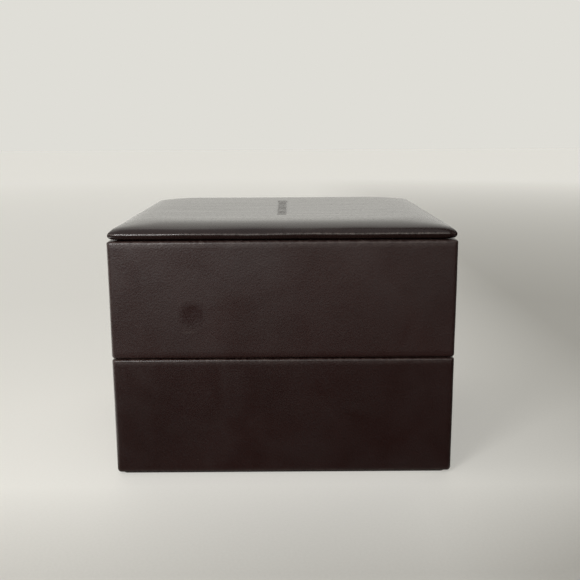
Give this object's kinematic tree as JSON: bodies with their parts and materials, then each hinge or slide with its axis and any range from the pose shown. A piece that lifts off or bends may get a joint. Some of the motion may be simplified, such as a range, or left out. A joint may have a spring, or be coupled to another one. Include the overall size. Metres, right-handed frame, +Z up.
{
  "type": "watch winder box",
  "caption": "Hinged leather-covered watch winder box with a padded lid, a tilted turning cup, a sprung watch cushion, deck controls and a rear power inlet.",
  "frame": {"origin": "centre of the flat underside of the bottom panel", "axes": "+Z up; -Y is the front, where the lid opens; +Y is the hinge side with the power inlet; +X is the right-hand side seen from the front"},
  "size_m": [0.171, 0.1842, 0.1356],
  "materials": {
    "leather": "dark espresso brown, fine grain, semi-gloss",
    "cushion_leather": "dark espresso brown, soft",
    "board": "raw fibreboard",
    "suede": "tan suede cloth",
    "foam": "cut foam",
    "felt": "dark felt",
    "steel": "zinc plated",
    "brass": "satin",
    "chrome": "polished",
    "magnet": "nickel plated",
    "black_plastic": "fine texture",
    "white_plastic": "moulded acetal",
    "circuit": "solder mask",
    "wire": "soft",
    "led": "clear green"
  },
  "bodies": {
    "base": {"base_core": "board", "base_leather": "leather", "base_felt": "felt", "base_magnet": "magnet", "deck_panel": "suede", "deck_frame": "board", "turret_shell": "suede", "bezel_ring": "chrome", "chassis_plate": "steel", "chassis_screw_left_front": "steel", "chassis_screw_left_back": "steel", "chassis_screw_right_front": "steel", "chassis_screw_right_back": "steel", "shaft_bush": "brass", "motor_gearbox": "steel", "motor_can": "steel", "motor_screw_left": "steel", "motor_screw_right": "steel", "circuit_board": "circuit", "motor_lead": "wire", "jack_lead": "wire", "dc_jack": "black_plastic", "selector_switch": "black_plastic", "power_switch": "black_plastic", "indicator_led": "led", "hinge_base_leaf_left": "brass", "hinge_base_leaf_right": "brass", "hinge_pin_left": "brass", "hinge_pin_right": "brass", "hinge_base_screw_left_1": "brass", "hinge_base_screw_left_2": "brass", "hinge_base_screw_right_1": "brass", "hinge_base_screw_right_2": "brass"},
    "lid": {"lid_core": "board", "lid_leather": "leather", "lid_lining": "suede", "lid_ceiling_pad": "suede", "lid_magnet": "magnet", "pad_board": "board", "pad_foam": "foam", "pad_leather": "leather", "hinge_lid_leaf_left": "brass", "hinge_lid_leaf_right": "brass", "hinge_lid_screw_left_1": "brass", "hinge_lid_screw_left_2": "brass", "hinge_lid_screw_right_1": "brass", "hinge_lid_screw_right_2": "brass"},
    "drum": {"drum_cup": "black_plastic", "cup_collar": "suede", "drum_gear": "white_plastic", "drum_shaft": "steel", "shaft_clip": "steel", "hub_screw": "steel"},
    "pinion": {"motor_shaft": "steel", "motor_pinion": "brass"},
    "cushion": {"cushion_base_half": "cushion_leather", "cushion_spring": "steel"},
    "jaw": {"cushion_jaw": "cushion_leather"},
    "selector": {"selector_knob": "chrome"},
    "button": {"power_button": "chrome"}
  },
  "joints": [
    {"name": "lid_hinge", "type": "hinge", "parent": "base", "child": "lid", "pos_m": [0, 0.0922, 0.06445], "axis": [-1, 0, 0], "range_deg": [0, 100]},
    {"name": "drum_spin", "type": "hinge", "parent": "base", "child": "drum", "pos_m": [0, -0.022, 0.081], "axis": [0, -0.5736, 0.8192], "continuous": true},
    {"name": "pinion_spin", "type": "hinge", "parent": "base", "child": "pinion", "pos_m": [0, 0.00278, 0.09835], "axis": [0, -0.5736, 0.8192], "continuous": true},
    {"name": "cushion_lift", "type": "slide", "parent": "drum", "child": "cushion", "axis": [0, -0.5736, 0.8192], "range_m": [0, 0.014]},
    {"name": "cushion_squeeze", "type": "slide", "parent": "cushion", "child": "jaw", "axis": [0, -0.8192, -0.5736], "range_m": [0, 0.008], "stiffness_N_per_m": 250, "springref_m": -0.004, "deforming": ["cushion_spring"]},
    {"name": "selector_turn", "type": "hinge", "parent": "base", "child": "selector", "pos_m": [0.0655, -0.03, 0.0505], "axis": [0, 0, 1], "range_deg": [-135, 135]},
    {"name": "power_press", "type": "slide", "parent": "base", "child": "button", "axis": [0, 0, -1], "range_m": [0, 0.0015], "stiffness_N_per_m": 300, "springref_m": -0.001}
  ],
  "couplings": [
    {"joint": "pinion_spin", "follows": "drum_spin", "ratio": -3}
  ]
}
